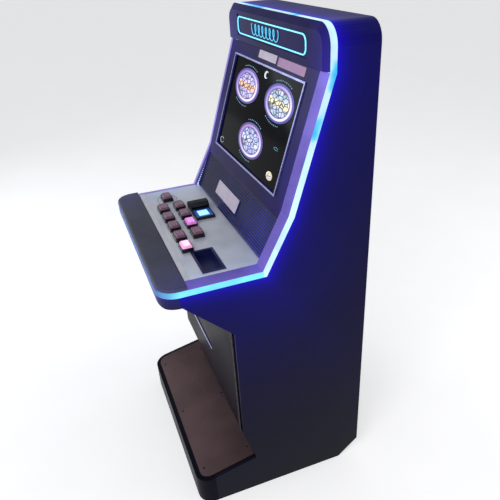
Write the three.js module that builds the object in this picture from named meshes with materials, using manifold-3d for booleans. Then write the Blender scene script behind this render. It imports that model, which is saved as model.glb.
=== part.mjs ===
// Upright LED-edged slot machine. Millimetres, +Z up, the player stands on the -Y side.
// The origin is the middle of the footprint, on the floor.
import * as THREE from 'three';
import { mergeVertices } from 'three/addons/utils/BufferGeometryUtils.js';
import Module from 'manifold-3d';

const wasm = await Module();
wasm.setup();

// ---- Driving dimensions -------------------------------------------------------------------
const WIDTH = 800;
const DEPTH = 700;
const HEIGHT = 1650;
const BOARD = 18;              // cabinet board thickness
const GAP = 0.3;               // clearance between touching pieces
const ARC_STEPS = 8;           // facets in a quarter turn

const HALF = WIDTH / 2;
const INNER = HALF - BOARD - GAP;
const REAR = DEPTH / 2;
const NOSE = -DEPTH / 2;
const ROOF_RADIUS = 57;        // rounded shoulders of the roof
const SHOULDER = HEIGHT - ROOF_RADIUS;

const LED_WIDTH = 20;          // visible width of the light band
const LED_FRONT = 197;         // front edge of the band beside the marquee
const MARQUEE_FRONT = 182;
const MARQUEE_BOTTOM = 1532;
const MARQUEE_BEVEL = 20;      // how far the marquee face is inset from the light band

const SCREEN_TILT = THREE.MathUtils.degToRad(18.6);   // from vertical
const SCREEN_TOP = { y: 175.4, z: 1490.6 };           // top edge of the screen frame
const SCREEN_W = 598;
const SCREEN_H = 344;
const FACE_ABOVE = 42;         // bezel above the screen frame
const FACE_BELOW = 50;         // bezel below the screen frame
const KINK = { y: 68, z: 1140 };                      // light band bends here
const KNEE_Y = -22;            // light band turns onto the deck here

const DECK_TOP = 983;
const DECK_LED_TOP = 973;
const DECK_LED_BOTTOM = DECK_LED_TOP - LED_WIDTH;
const DECK_BOTTOM = 915;
const DECK_RADIUS = 62;        // plan radius of the deck's front corners
const PAD_REAR = -259;         // rear edge of the armrest pad
const PLATE_FRONT = -242;      // front edge of the control plate
const PLATE_REAR = -17;
const PLATE_HALF = 361.5;

const SHIN_Y = -130;           // face of the lower front
const SHIN_TOP = 766;
const TOE_TOP = 300;           // the lower front leans back below here
const TOE_Y = -88;
const DIAGONAL_START = -284;   // underside of the deck turns down here

const STEP_FRONT = -320;       // front of the foot step
const STEP_FRONT_Z = 116.9;
const STEP_SLOPE = 0.212;
const STEP_RADIUS = 55;
const STEP_JOIN = -254.7;      // the side panels end here, the step's nose carries on
const STEP_PLATE = 2.5;

const CHAMFER_Y = 267;         // rear bottom corner is cut off between these two
const CHAMFER_Z = 72;

const BUTTON_W = 52;
const BUTTON_D = 34;
const BUTTON_PITCH_X = 83;
const BUTTON_ROW_Y = [-202, -141];
const BUTTON_SINGLE = { x: -266, y: -167 };
const HOUSING_W = 60;
const HOUSING_D = 42;
const HOUSING_H = 14;
const BUTTON_TRAVEL = 3;

const TRAY = { x: 272, y: -160, w: 149, d: 76, depth: 26 };
const HOOD = { x0: -158, x1: -22, y0: -112, y1: -42, low: 10, high: 34, back: -96 };

const REAR_DOOR = { w: 479, z0: 323, z1: 1177 };
const HINGE_R = 3.7;
const HINGE_OFFSET = 4;        // hinge axis in front of the door face

const stepTop = (y) => STEP_FRONT_Z + STEP_SLOPE * (y - STEP_FRONT);

// ---- Materials ----------------------------------------------------------------------------
const paint = (color, roughness, metalness) =>
  new THREE.MeshStandardMaterial({ color, roughness, metalness });
const laminate = paint(0x14122a, 0.35, 0);
const blackPlastic = paint(0x15151b, 0.5, 0);
const bezelBlack = paint(0x1a1730, 0.3, 0);
const silver = paint(0xb4acd6, 0.25, 0.9);
const steel = paint(0xa8abb2, 0.35, 0.9);
const footSteel = paint(0x6a5a58, 0.25, 0.9);
const ledWhite = paint(0x9fe8ff, 0.4, 0);
const glassBlack = paint(0x06070c, 0.05, 0);
const capPink = paint(0xb98aa6, 0.35, 0);
const navy = paint(0x262a55, 0.4, 0);
const board = paint(0x1f5a3a, 0.6, 0);
const padGrey = paint(0x3a3c48, 0.55, 0);

// ---- Geometry helpers ---------------------------------------------------------------------
const xAxis = new THREE.Vector3(1, 0, 0);
const yAxis = new THREE.Vector3(0, 1, 0);
const zAxis = new THREE.Vector3(0, 0, 1);

/** A closed geometry as a manifold solid. */
function solid(geometry) {
  const bare = geometry.clone();
  bare.deleteAttribute('normal');
  bare.deleteAttribute('uv');
  const merged = mergeVertices(bare, 1e-4);
  return new wasm.Manifold(new wasm.Mesh({
    numProp: 3,
    vertProperties: new Float32Array(merged.attributes.position.array),
    triVerts: new Uint32Array(merged.index.array),
  }));
}

/** A manifold solid as a BufferGeometry. */
function geometryOf(manifold) {
  const mesh = manifold.getMesh();
  const geometry = new THREE.BufferGeometry();
  geometry.setAttribute('position', new THREE.BufferAttribute(new Float32Array(mesh.vertProperties), 3));
  geometry.setIndex(new THREE.BufferAttribute(new Uint32Array(mesh.triVerts), 1));
  geometry.computeVertexNormals();
  return geometry;
}

/** Box between two corners. */
function block(x0, x1, y0, y1, z0, z1) {
  const geometry = new THREE.BoxGeometry(x1 - x0, y1 - y0, z1 - z0);
  return solid(geometry.translate((x0 + x1) / 2, (y0 + y1) / 2, (z0 + z1) / 2));
}

/** Outline extruded along the third axis of a frame given by its first two axes. */
function prism(points, first, second, start, length) {
  const shape = new THREE.Shape(points.map(([a, b]) => new THREE.Vector2(a, b)));
  const geometry = new THREE.ExtrudeGeometry(shape, { depth: length, bevelEnabled: false });
  const third = new THREE.Vector3().crossVectors(first, second);
  geometry.applyMatrix4(new THREE.Matrix4().makeBasis(first, second, third));
  geometry.translate(...third.clone().multiplyScalar(start).toArray());
  return solid(geometry);
}
const prismX = (yz, x0, x1) => prism(yz, yAxis, zAxis, x0, x1 - x0);
const prismZ = (xy, z0, z1) => prism(xy, xAxis, yAxis, z0, z1 - z0);
const prismY = (xz, y0, y1) => prism(xz, xAxis, zAxis, -y1, y1 - y0);

/** Skin between two outlines with the same number of points, each in 3-D, with flat ends. */
function loft(lower, upper) {
  const count = lower.length;
  const flat = lower.map((p) => new THREE.Vector2(...planar(lower, p)));
  if (THREE.ShapeUtils.area(flat) < 0) return loft([...lower].reverse(), [...upper].reverse());
  const faces = THREE.ShapeUtils.triangulateShape(flat, []);
  const index = [];
  for (const [a, b, c] of faces) {
    index.push(a, c, b, a + count, b + count, c + count);
  }
  for (let i = 0; i < count; i += 1) {
    const j = (i + 1) % count;
    index.push(i, j, j + count, i, j + count, i + count);
  }
  const geometry = new THREE.BufferGeometry();
  const flatPoints = [...lower, ...upper].flat();
  geometry.setAttribute('position', new THREE.BufferAttribute(new Float32Array(flatPoints), 3));
  geometry.setIndex(index);
  const made = solid(geometry);
  if (made.volume() > 0) return made;
  geometry.setIndex(index.map((_, i, all) => all[i - (i % 3) + 2 - (i % 3)]));
  return solid(geometry);
}

/** The two coordinates of a point that vary over a flat outline. */
function planar(outline, point) {
  const fixed = [0, 1, 2].find((k) => outline.every((p) => Math.abs(p[k] - outline[0][k]) < 1e-6));
  return point.filter((_, k) => k !== fixed);
}

/** Polygon with each corner rounded by its own radius: [a, b, radius]. */
function rounded(corners) {
  const out = [];
  corners.forEach(([a, b, radius = 0], i) => {
    if (radius === 0) {
      out.push([a, b]);
      return;
    }
    const here = new THREE.Vector2(a, b);
    const before = corners[(i + corners.length - 1) % corners.length];
    const after = corners[(i + 1) % corners.length];
    const toBefore = new THREE.Vector2(before[0], before[1]).sub(here).normalize();
    const toAfter = new THREE.Vector2(after[0], after[1]).sub(here).normalize();
    const half = Math.acos(THREE.MathUtils.clamp(toBefore.dot(toAfter), -1, 1)) / 2;
    const centre = toBefore.clone().add(toAfter).normalize().multiplyScalar(radius / Math.sin(half)).add(here);
    const start = toBefore.clone().multiplyScalar(radius / Math.tan(half)).add(here).sub(centre);
    const sweep = Math.PI - 2 * half;
    const turn = Math.sign(toBefore.x * toAfter.y - toBefore.y * toAfter.x);
    const steps = Math.max(2, Math.round((ARC_STEPS * sweep) / (Math.PI / 2)));
    for (let k = 0; k <= steps; k += 1) {
      const spoke = start.clone().rotateAround(new THREE.Vector2(), (-turn * sweep * k) / steps);
      out.push([centre.x + spoke.x, centre.y + spoke.y]);
    }
  });
  return out;
}

/** Open path shifted sideways; a positive distance moves it to the left of its direction. */
function shifted(path, distance) {
  const lines = path.slice(1).map(([a, b], i) => {
    const [a0, b0] = path[i];
    const length = Math.hypot(a - a0, b - b0);
    const side = [-(b - b0) / length, (a - a0) / length];
    const move = ([p, q]) => [p + side[0] * distance, q + side[1] * distance];
    return [move([a0, b0]), move([a, b])];
  });
  const out = [lines[0][0]];
  for (let i = 1; i < lines.length; i += 1) out.push(crossing(lines[i - 1], lines[i]));
  out.push(lines[lines.length - 1][1]);
  return out;
}

/** Where two lines, each given by two points, cross. */
function crossing([[x1, y1], [x2, y2]], [[x3, y3], [x4, y4]]) {
  const det = (x1 - x2) * (y3 - y4) - (y1 - y2) * (x3 - x4);
  const first = x1 * y2 - y1 * x2;
  const second = x3 * y4 - y3 * x4;
  return [
    (first * (x3 - x4) - (x1 - x2) * second) / det,
    (first * (y3 - y4) - (y1 - y2) * second) / det,
  ];
}

const group = new THREE.Group();

function add(name, manifold, material, parent = group) {
  const mesh = new THREE.Mesh(geometryOf(manifold), material);
  mesh.name = name;
  parent.add(mesh);
  return mesh;
}

/** Group whose local x is +X, local y runs up a tilted face and local z points out of it. */
function facePlane(y, z, tilt) {
  const face = new THREE.Group();
  face.position.set(0, y, z);
  face.rotation.x = Math.PI / 2 - tilt;
  group.add(face);
  return face;
}

// ---- The light band's path on each side, from the marquee down and out along the deck ------
const BAND = [
  [LED_FRONT, SHOULDER],
  [LED_FRONT, 1530],
  [KINK.y, KINK.z],
  [KNEE_Y, DECK_LED_TOP],
  [NOSE + DECK_RADIUS, DECK_LED_TOP],
];
const BAND_BACK = shifted(BAND, LED_WIDTH);
const PANEL_EDGE = shifted(BAND, LED_WIDTH + GAP);

// ---- Side panels --------------------------------------------------------------------------
function sidePanel(side) {
  const outline = [
    [CHAMFER_Y, 0],
    [REAR, CHAMFER_Z],
    [REAR, SHOULDER],
    ...PANEL_EDGE,
    [NOSE + DECK_RADIUS, DECK_BOTTOM],
    [DIAGONAL_START, DECK_BOTTOM],
    [SHIN_Y, SHIN_TOP],
    [SHIN_Y, TOE_TOP],
    [TOE_Y, stepTop(TOE_Y) - STEP_PLATE - GAP],
    [STEP_JOIN, stepTop(STEP_JOIN) - STEP_PLATE - GAP],
    [STEP_JOIN, 0],
  ];
  const inner = side * (HALF - BOARD);
  return prismX(outline, Math.min(side * HALF, inner), Math.max(side * HALF, inner));
}
add('side_panel_right', sidePanel(1), laminate);
add('side_panel_left', sidePanel(-1), laminate);

// ---- Roof, an arch with rounded shoulders -------------------------------------------------
function arch(y0, y1, bottom) {
  const below = bottom - 20;
  const hollow = ROOF_RADIUS - BOARD;
  const outer = rounded([
    [-HALF, below], [HALF, below], [HALF, HEIGHT, ROOF_RADIUS], [-HALF, HEIGHT, ROOF_RADIUS],
  ]);
  const inside = HALF - BOARD;
  const inner = rounded([
    [-inside, below - 1], [inside, below - 1],
    [inside, HEIGHT - BOARD, hollow], [-inside, HEIGHT - BOARD, hollow],
  ]);
  return prismY(outer, y0, y1)
    .subtract(prismY(inner, y0 - 1, y1 + 1))
    .intersect(block(-HALF - 1, HALF + 1, y0 - 1, y1 + 1, bottom, HEIGHT + 1));
}
const roofFront = LED_FRONT + LED_WIDTH + GAP;
add('roof_shell', arch(roofFront, REAR, SHOULDER + GAP), laminate);

// ---- Light bands --------------------------------------------------------------------------
function bandSide(side) {
  const run = BAND.slice(0, 4);
  const back = BAND_BACK.slice(0, 4);
  const outline = [...run, ...back.reverse()];
  const inner = side * (HALF - BOARD);
  const slab = prismX(outline, Math.min(side * HALF, inner), Math.max(side * HALF, inner));
  return slab.subtract(block(-HALF - 1, HALF + 1, NOSE, REAR, 0, DECK_LED_TOP + GAP));
}
const ledArch = arch(LED_FRONT, LED_FRONT + LED_WIDTH, SHOULDER).add(bandSide(1)).add(bandSide(-1));
add('led_band_arch', ledArch, ledWhite);

/** Plan outline of the deck, inset all round its front and sides. */
function deckPlan(inset, rear, front = NOSE, radius = DECK_RADIUS) {
  const side = HALF - inset;
  const bend = Math.max(radius - inset, 4);
  return rounded([
    [-side, rear], [-side, front + inset, bend], [side, front + inset, bend], [side, rear],
  ]).reverse();
}

function ledDeck() {
  const rear = KNEE_Y + 60;
  const ring = prismZ(deckPlan(0, rear), DECK_LED_BOTTOM, DECK_LED_TOP)
    .subtract(prismZ(deckPlan(BOARD, rear + 1), DECK_LED_BOTTOM - 1, DECK_LED_TOP + 1));
  const backLine = [BAND_BACK[2], BAND_BACK[3]];
  const top = crossing(backLine, [[0, DECK_LED_TOP], [1, DECK_LED_TOP]]);
  const keep = [
    [NOSE - 1, DECK_LED_BOTTOM], BAND_BACK[3], top, [NOSE - 1, DECK_LED_TOP],
  ];
  return ring.intersect(prismX(keep, -HALF - 1, HALF + 1));
}
add('led_band_deck', ledDeck(), ledWhite);

// ---- Bevelled trims beside the screen, the speakers and the control plate -------------------
function sideTrim(side) {
  const run = [BAND[1], BAND[2], BAND[3], [PAD_REAR, DECK_LED_TOP]];
  const low = shifted(run, -GAP);
  const high = shifted(run, -(DECK_TOP - DECK_LED_TOP));
  const lip = shifted(run, -2);
  const at = (x, path) => path.map(([y, z]) => [side * x, y, z]);
  const inner = at(PLATE_HALF + GAP, [...low, ...high.slice().reverse()]);
  const outer = at(HALF, [...low, ...lip.slice().reverse()]);
  return loft(inner, outer).subtract(block(-HALF - 1, HALF + 1, 0, REAR, MARQUEE_BOTTOM - GAP, HEIGHT));
}
add('side_trim_right', sideTrim(1), silver);
add('side_trim_left', sideTrim(-1), silver);

// ---- Marquee housing with a recess for the lit sign ----------------------------------------
const SIGN = { w: 580, z0: 1550, z1: 1620, depth: 9 };
function marquee() {
  const outline = (inset, y) => rounded([
    [-(HALF - inset), MARQUEE_BOTTOM], [HALF - inset, MARQUEE_BOTTOM],
    [HALF - inset, HEIGHT - inset, ROOF_RADIUS - inset],
    [-(HALF - inset), HEIGHT - inset, ROOF_RADIUS - inset],
  ]).map(([x, z]) => [x, y, z]);
  const body = loft(outline(0, LED_FRONT - GAP), outline(MARQUEE_BEVEL, MARQUEE_FRONT));
  const recess = block(-SIGN.w / 2, SIGN.w / 2, MARQUEE_FRONT - 1, MARQUEE_FRONT + SIGN.depth, SIGN.z0, SIGN.z1);
  return body.subtract(recess);
}
add('marquee_housing', marquee(), bezelBlack);
const signFace = MARQUEE_FRONT + 3;
add('sign_panel', block(
  -SIGN.w / 2 + GAP, SIGN.w / 2 - GAP, signFace, MARQUEE_FRONT + SIGN.depth - GAP,
  SIGN.z0 + GAP, SIGN.z1 - GAP,
), glassBlack);

// ---- Screen face --------------------------------------------------------------------------
const BEZEL_T = 12;
const FRAME_T = 6;
const screenFace = facePlane(SCREEN_TOP.y, SCREEN_TOP.z, SCREEN_TILT);
function monitorBezel() {
  const plate = block(-PLATE_HALF, PLATE_HALF, -SCREEN_H - FACE_BELOW, FACE_ABOVE - 2, -BEZEL_T, 0);
  const hole = block(-SCREEN_W / 2 + FRAME_T, SCREEN_W / 2 - FRAME_T, FRAME_T - SCREEN_H, -FRAME_T, -BEZEL_T - 1, 1);
  return plate.subtract(hole);
}
add('monitor_bezel', monitorBezel(), bezelBlack, screenFace);
function screenFrame() {
  const ring = block(-SCREEN_W / 2, SCREEN_W / 2, -SCREEN_H, 0, GAP, 4);
  const hole = block(-SCREEN_W / 2 + FRAME_T, SCREEN_W / 2 - FRAME_T, FRAME_T - SCREEN_H, -FRAME_T, -1, 5);
  return ring.subtract(hole);
}
add('screen_frame', screenFrame(), silver, screenFace);
const glassInset = FRAME_T + GAP;
add('screen_glass', block(
  -SCREEN_W / 2 + glassInset, SCREEN_W / 2 - glassInset, glassInset - SCREEN_H, -glassInset, -8, -4,
), glassBlack, screenFace);
add('monitor_body', block(-315, 315, -SCREEN_H - 8, 8, -58, -BEZEL_T - GAP), blackPlastic, screenFace);

// ---- Louvred speaker panel between the screen face and the deck -----------------------------
const faceFoot = {
  y: SCREEN_TOP.y - (SCREEN_H + FACE_BELOW + 1.5) * Math.sin(SCREEN_TILT),
  z: SCREEN_TOP.z - (SCREEN_H + FACE_BELOW + 1.5) * Math.cos(SCREEN_TILT),
};
const louvreTilt = Math.atan2(faceFoot.y - (PLATE_REAR + 2), faceFoot.z - DECK_TOP);
const louvreLength = Math.hypot(faceFoot.y - (PLATE_REAR + 2), faceFoot.z - DECK_TOP);
const LOUVRE_COUNT = 15;
const LOUVRE_T = 9;
const louvreFace = facePlane(faceFoot.y, faceFoot.z, louvreTilt);
function louvrePanel() {
  const margin = 4;
  const pitch = (louvreLength - 3 * margin) / LOUVRE_COUNT;
  const outline = [[-LOUVRE_T, 0], [-3, 0]];
  for (let i = 0; i < LOUVRE_COUNT; i += 1) {
    const top = -margin - i * pitch;
    outline.push([-3, top], [1, top - pitch * 0.45], [-3, top - pitch * 0.62]);
  }
  outline.push([-3, -louvreLength + 2], [-LOUVRE_T, -louvreLength + 2]);
  const foot = (LOUVRE_T + 3) * Math.tan(louvreTilt);
  const trim = [[-LOUVRE_T - 3, -louvreLength - 9], [3, -louvreLength - 9], [3, -louvreLength + 1],
    [-LOUVRE_T - 3, -louvreLength + 1 + foot]];
  return prism(outline, zAxis, yAxis, -PLATE_HALF, PLATE_HALF * 2)
    .subtract(prism(trim, zAxis, yAxis, -HALF, HALF * 2));
}
add('louvre_panel', louvrePanel(), blackPlastic, louvreFace);

function speaker() {
  const rings = [
    [0, -58], [22, -58], [22, -42], [34, -40], [46, -20], [46, -16], [44, -12], [0, -12],
  ].map(([r, z]) => new THREE.Vector2(r, z));
  const geometry = new THREE.LatheGeometry(rings, 24);
  geometry.rotateX(Math.PI / 2);
  return solid(geometry);
}
for (const [name, x] of [['speaker_left', -225], ['speaker_right', 225]]) {
  const mesh = add(name, speaker(), blackPlastic, louvreFace);
  mesh.position.set(x, -louvreLength / 2 + 8, 0);
}

// ---- Deck: nose, armrest pad, border, control plate -----------------------------------------
const PLATE_T = 3;
function deckNose() {
  const lower = prismZ(deckPlan(0, PAD_REAR), DECK_BOTTOM, DECK_LED_BOTTOM - GAP);
  const shelf = prismZ(deckPlan(BOARD + GAP, PAD_REAR), DECK_LED_BOTTOM - 1, DECK_LED_TOP);
  const roundedFoot = rounded([
    [NOSE - 1, HEIGHT], [NOSE, DECK_BOTTOM + 40], [NOSE, DECK_BOTTOM, 24], [0, DECK_BOTTOM], [0, HEIGHT],
  ]);
  const beside = block(-HALF - 1, -INNER, NOSE + DECK_RADIUS, 0, 0, HEIGHT)
    .add(block(INNER, HALF + 1, NOSE + DECK_RADIUS, 0, 0, HEIGHT));
  return lower.add(shelf).intersect(prismX(roundedFoot, -HALF - 1, HALF + 1)).subtract(beside);
}
add('deck_nose', deckNose(), blackPlastic);

const lift = (outline, z) => outline.map(([x, y]) => [x, y, z]);
const padLow = lift(deckPlan(1, PAD_REAR - GAP), DECK_LED_TOP + GAP);
const padMid = lift(deckPlan(2, PAD_REAR - GAP), DECK_TOP - 3);
const padHigh = lift(deckPlan(7, PAD_REAR - GAP), DECK_TOP + 2);
add('armrest_pad', loft(padLow, padMid).add(loft(padMid, padHigh)), padGrey);
add('deck_border', block(
  -PLATE_HALF, PLATE_HALF, PAD_REAR, PLATE_FRONT - GAP, DECK_LED_TOP + GAP, DECK_TOP + 1,
), silver);

const buttonSpots = [];
BUTTON_ROW_Y.forEach((y, row) => {
  const columns = row === 0 ? 5 : 4;
  for (let column = 0; column < columns; column += 1) {
    buttonSpots.push([(column - 2) * BUTTON_PITCH_X, y]);
  }
});
buttonSpots.push([BUTTON_SINGLE.x, BUTTON_SINGLE.y]);

const SHANK_W = 44;
const SHANK_D = 28;
function controlPlate() {
  let plate = block(-PLATE_HALF, PLATE_HALF, PLATE_FRONT, PLATE_REAR + 18, DECK_TOP - PLATE_T, DECK_TOP);
  const pierce = (x, y, w, d) => {
    plate = plate.subtract(block(x - w / 2, x + w / 2, y - d / 2, y + d / 2, DECK_TOP - 10, DECK_TOP + 1));
  };
  for (const [x, y] of buttonSpots) pierce(x, y, SHANK_W + 2 * GAP, SHANK_D + 2 * GAP);
  pierce(TRAY.x, TRAY.y, TRAY.w - 10, TRAY.d - 10);
  pierce((HOOD.x0 + HOOD.x1) / 2, (HOOD.y0 + HOOD.y1) / 2, 96, 46);
  return plate;
}
add('control_plate', controlPlate(), steel);

// ---- Push buttons: a fixed housing and a lit cap that travels into it ------------------------
function buttonHousing(x, y) {
  const rim = DECK_TOP + HOUSING_H;
  const at = (w, d, z0, z1) => block(x - w / 2, x + w / 2, y - d / 2, y + d / 2, z0, z1);
  return at(HOUSING_W, HOUSING_D, DECK_TOP + GAP, rim)
    .add(at(SHANK_W, SHANK_D, DECK_TOP - 26, DECK_TOP + 2))
    .subtract(at(BUTTON_W + 2 * GAP, BUTTON_D + 2 * GAP, rim - 8, rim + 1));
}
function buttonCap(x, y) {
  const rim = DECK_TOP + HOUSING_H;
  const plan = (inset) => rounded([
    [x - BUTTON_W / 2 + inset, y - BUTTON_D / 2 + inset, 4],
    [x + BUTTON_W / 2 - inset, y - BUTTON_D / 2 + inset, 4],
    [x + BUTTON_W / 2 - inset, y + BUTTON_D / 2 - inset, 4],
    [x - BUTTON_W / 2 + inset, y + BUTTON_D / 2 - inset, 4],
  ]);
  const foot = rim - 8 + BUTTON_TRAVEL + GAP;
  const low = loft(lift(plan(0), foot), lift(plan(0), rim + 4));
  return low.add(loft(lift(plan(0), rim + 4), lift(plan(2.5), rim + 7)));
}
buttonSpots.forEach(([x, y], i) => {
  const label = String(i + 1).padStart(2, '0');
  add(`button_housing_${label}`, buttonHousing(x, y), blackPlastic);
  add(`button_cap_${label}`, buttonCap(x, y), capPink);
});

// ---- Coin and ticket tray let into the plate -------------------------------------------------
function tray() {
  const at = (inset, z0, z1) => block(
    TRAY.x - TRAY.w / 2 + inset, TRAY.x + TRAY.w / 2 - inset,
    TRAY.y - TRAY.d / 2 + inset, TRAY.y + TRAY.d / 2 - inset, z0, z1,
  );
  return at(0, DECK_TOP + GAP, DECK_TOP + 3)
    .add(at(6, DECK_TOP - TRAY.depth, DECK_TOP + 1))
    .subtract(at(8, DECK_TOP - TRAY.depth + 2, DECK_TOP + 10));
}
add('coin_tray', tray(), navy);

// ---- Bill acceptor: raised hood with a slot over a lit tongue, validator below ----------------
const SLOT = { w: 62, z: DECK_TOP + 13, h: 7, depth: 26 };
const tongue = {
  x0: HOOD.back + 2, x1: HOOD.x1 - 6, y0: HOOD.y0 + 4, y1: HOOD.y1 - 4, z: DECK_TOP + 5,
};
function billHood() {
  const outline = [
    [HOOD.x0, DECK_TOP + GAP], [HOOD.x1, DECK_TOP + GAP], [HOOD.x1, DECK_TOP + HOOD.low],
    [HOOD.back, DECK_TOP + HOOD.low], [HOOD.back, DECK_TOP + 25],
    [HOOD.back - 10, DECK_TOP + HOOD.high], [HOOD.x0 + 26, DECK_TOP + HOOD.high],
    [HOOD.x0, DECK_TOP + 20],
  ];
  const middle = (HOOD.y0 + HOOD.y1) / 2;
  const slot = block(
    HOOD.back - SLOT.depth, HOOD.back + 1, middle - SLOT.w / 2, middle + SLOT.w / 2,
    SLOT.z, SLOT.z + SLOT.h,
  );
  const seat = block(tongue.x0, tongue.x1, tongue.y0, tongue.y1, tongue.z, DECK_TOP + HOOD.low + 1);
  return prismY(outline, HOOD.y0, HOOD.y1).subtract(slot).subtract(seat);
}
add('bill_hood', billHood(), blackPlastic);
add('bill_tongue', block(
  tongue.x0 + GAP, tongue.x1 - GAP, tongue.y0 + GAP, tongue.y1 - GAP,
  tongue.z + GAP, DECK_TOP + HOOD.low - 1,
), ledWhite);
add('bill_validator', block(-136, -44, -99, -55, DECK_TOP - 120, DECK_TOP - GAP), blackPlastic);

// ---- Lower body: under-deck panel, door, toe panel, step, base --------------------------------
function bent(path, thickness, x0, x1) {
  const other = shifted(path, thickness);
  return prismX([...path, ...other.slice().reverse()], x0, x1);
}
add('under_deck_panel', bent([[PAD_REAR + 2, DECK_BOTTOM], [SHIN_Y, SHIN_TOP]], 9, -INNER, INNER)
  .add(block(-INNER, INNER, SHIN_Y + 1, SHIN_Y + 10, SHIN_TOP, SHIN_TOP + 30)), laminate);

const DOOR_HALF = INNER - 3.5;
const DOOR_Z0 = TOE_TOP + 3;
const DOOR_Z1 = SHIN_TOP - 3;
const LOCK_R = 9.5;
function cylinderY(radius, x, z, y0, y1, sides = 20) {
  const geometry = new THREE.CylinderGeometry(radius, radius, y1 - y0, sides);
  return solid(geometry.translate(x, (y0 + y1) / 2, z));
}
function cylinderZ(radius, x, y, z0, z1, sides = 16) {
  const geometry = new THREE.CylinderGeometry(radius, radius, z1 - z0, sides);
  return solid(geometry.rotateX(Math.PI / 2).translate(x, y, (z0 + z1) / 2));
}
const FRONT_LOCK = { x: -330, z: 700, reach: -36 };
add('lower_door', block(-DOOR_HALF, DOOR_HALF, SHIN_Y, SHIN_Y + BOARD, DOOR_Z0, DOOR_Z1)
  .subtract(cylinderY(LOCK_R + GAP, FRONT_LOCK.x, FRONT_LOCK.z, SHIN_Y - 1, SHIN_Y + BOARD + 1)), laminate);

/** Key barrel with a flange outside and a cam tongue inside; out is +1 towards +Y. */
function camLock({ x, z, reach }, face, out) {
  const span = (a, b) => [Math.min(face + out * a, face + out * b), Math.max(face + out * a, face + out * b)];
  const flange = cylinderY(LOCK_R + 3, x, z, ...span(GAP, 3));
  const barrel = cylinderY(LOCK_R, x, z, ...span(-BOARD - 6, 2));
  const [c0, c1] = span(-BOARD - 6, -BOARD - 3);
  const key = block(x - 1.5, x + 1.5, ...span(2, 4.5), z - 5, z + 5);
  const hub = block(x - 6, x + 6, c0, c1, z - 6, z + 6);
  const cam = hub.add(block(Math.min(x, x + reach), Math.max(x, x + reach), c0, c1, z - 6, z + 6));
  return flange.add(barrel).add(cam).add(key);
}
add('lower_door_lock', camLock(FRONT_LOCK, SHIN_Y, -1), steel);
const frontHingeX = DOOR_HALF - 2;
const frontHingeY = SHIN_Y - HINGE_OFFSET;
add('lower_door_hinge', cylinderZ(HINGE_R, frontHingeX, frontHingeY, DOOR_Z0 + 2, DOOR_Z1 - 2, 12), steel);

const STEP_LEDGE = 120;        // the toe panel stands on the step's rear ledge
const toeSlope = (TOE_Y - SHIN_Y) / (TOE_TOP - stepTop(TOE_Y));
const toeFoot = [SHIN_Y + toeSlope * (TOE_TOP - STEP_LEDGE), STEP_LEDGE];
add('toe_panel', bent([[SHIN_Y, TOE_TOP], toeFoot], 12, -INNER, INNER)
  .intersect(block(-HALF, HALF, NOSE, REAR, STEP_LEDGE + GAP, TOE_TOP)), laminate);

/** Plan of the foot step: full width at its rounded nose, narrower between the side panels. */
function stepPlan(inset, rear, neck) {
  const side = HALF - inset;
  const front = STEP_FRONT + inset;
  const bend = STEP_RADIUS - inset;
  return rounded([
    [-neck, rear], [-neck, STEP_JOIN - GAP], [-side, STEP_JOIN - GAP], [-side, front, bend],
    [side, front, bend], [side, STEP_JOIN - GAP], [neck, STEP_JOIN - GAP], [neck, rear],
  ]).reverse();
}
const STEP_REAR = -60;
function footStep() {
  const drop = STEP_PLATE + GAP;
  const side = [
    [STEP_FRONT - 1, 0], [STEP_REAR, 0], [STEP_REAR, STEP_LEDGE], [TOE_Y - 4, STEP_LEDGE],
    [TOE_Y - 4, stepTop(TOE_Y - 4) - drop], [STEP_FRONT - 1, stepTop(STEP_FRONT - 1) - drop],
  ];
  const full = prismZ(stepPlan(0, STEP_REAR, INNER), 0, 400).intersect(prismX(side, -HALF - 1, HALF + 1));
  const hollow = block(-INNER + BOARD, INNER - BOARD, STEP_FRONT + BOARD, STEP_REAR + 1, -1, 96);
  return full.subtract(hollow);
}
add('foot_step', footStep(), laminate);
const PLATE_INSET = 18;
function footPlate() {
  const front = STEP_FRONT + PLATE_INSET;
  const side = HALF - PLATE_INSET;
  const sheet = bent([[front, stepTop(front)], [TOE_Y - 4, stepTop(TOE_Y - 4)]], -STEP_PLATE, -HALF, HALF);
  const plan = rounded([
    [-side, TOE_Y], [-side, front, STEP_RADIUS - PLATE_INSET],
    [side, front, STEP_RADIUS - PLATE_INSET], [side, TOE_Y],
  ]).reverse();
  return sheet.intersect(prismZ(plan, 0, 400));
}
add('foot_plate', footPlate(), footSteel);

/** Base tray: a flat floor bent up along the cut-off rear corner. */
add('base_tray', bent([
  [STEP_REAR + 2, 0], [CHAMFER_Y, 0], [REAR, CHAMFER_Z], [REAR, CHAMFER_Z + 26],
], 12, -INNER, INNER), laminate);

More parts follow.
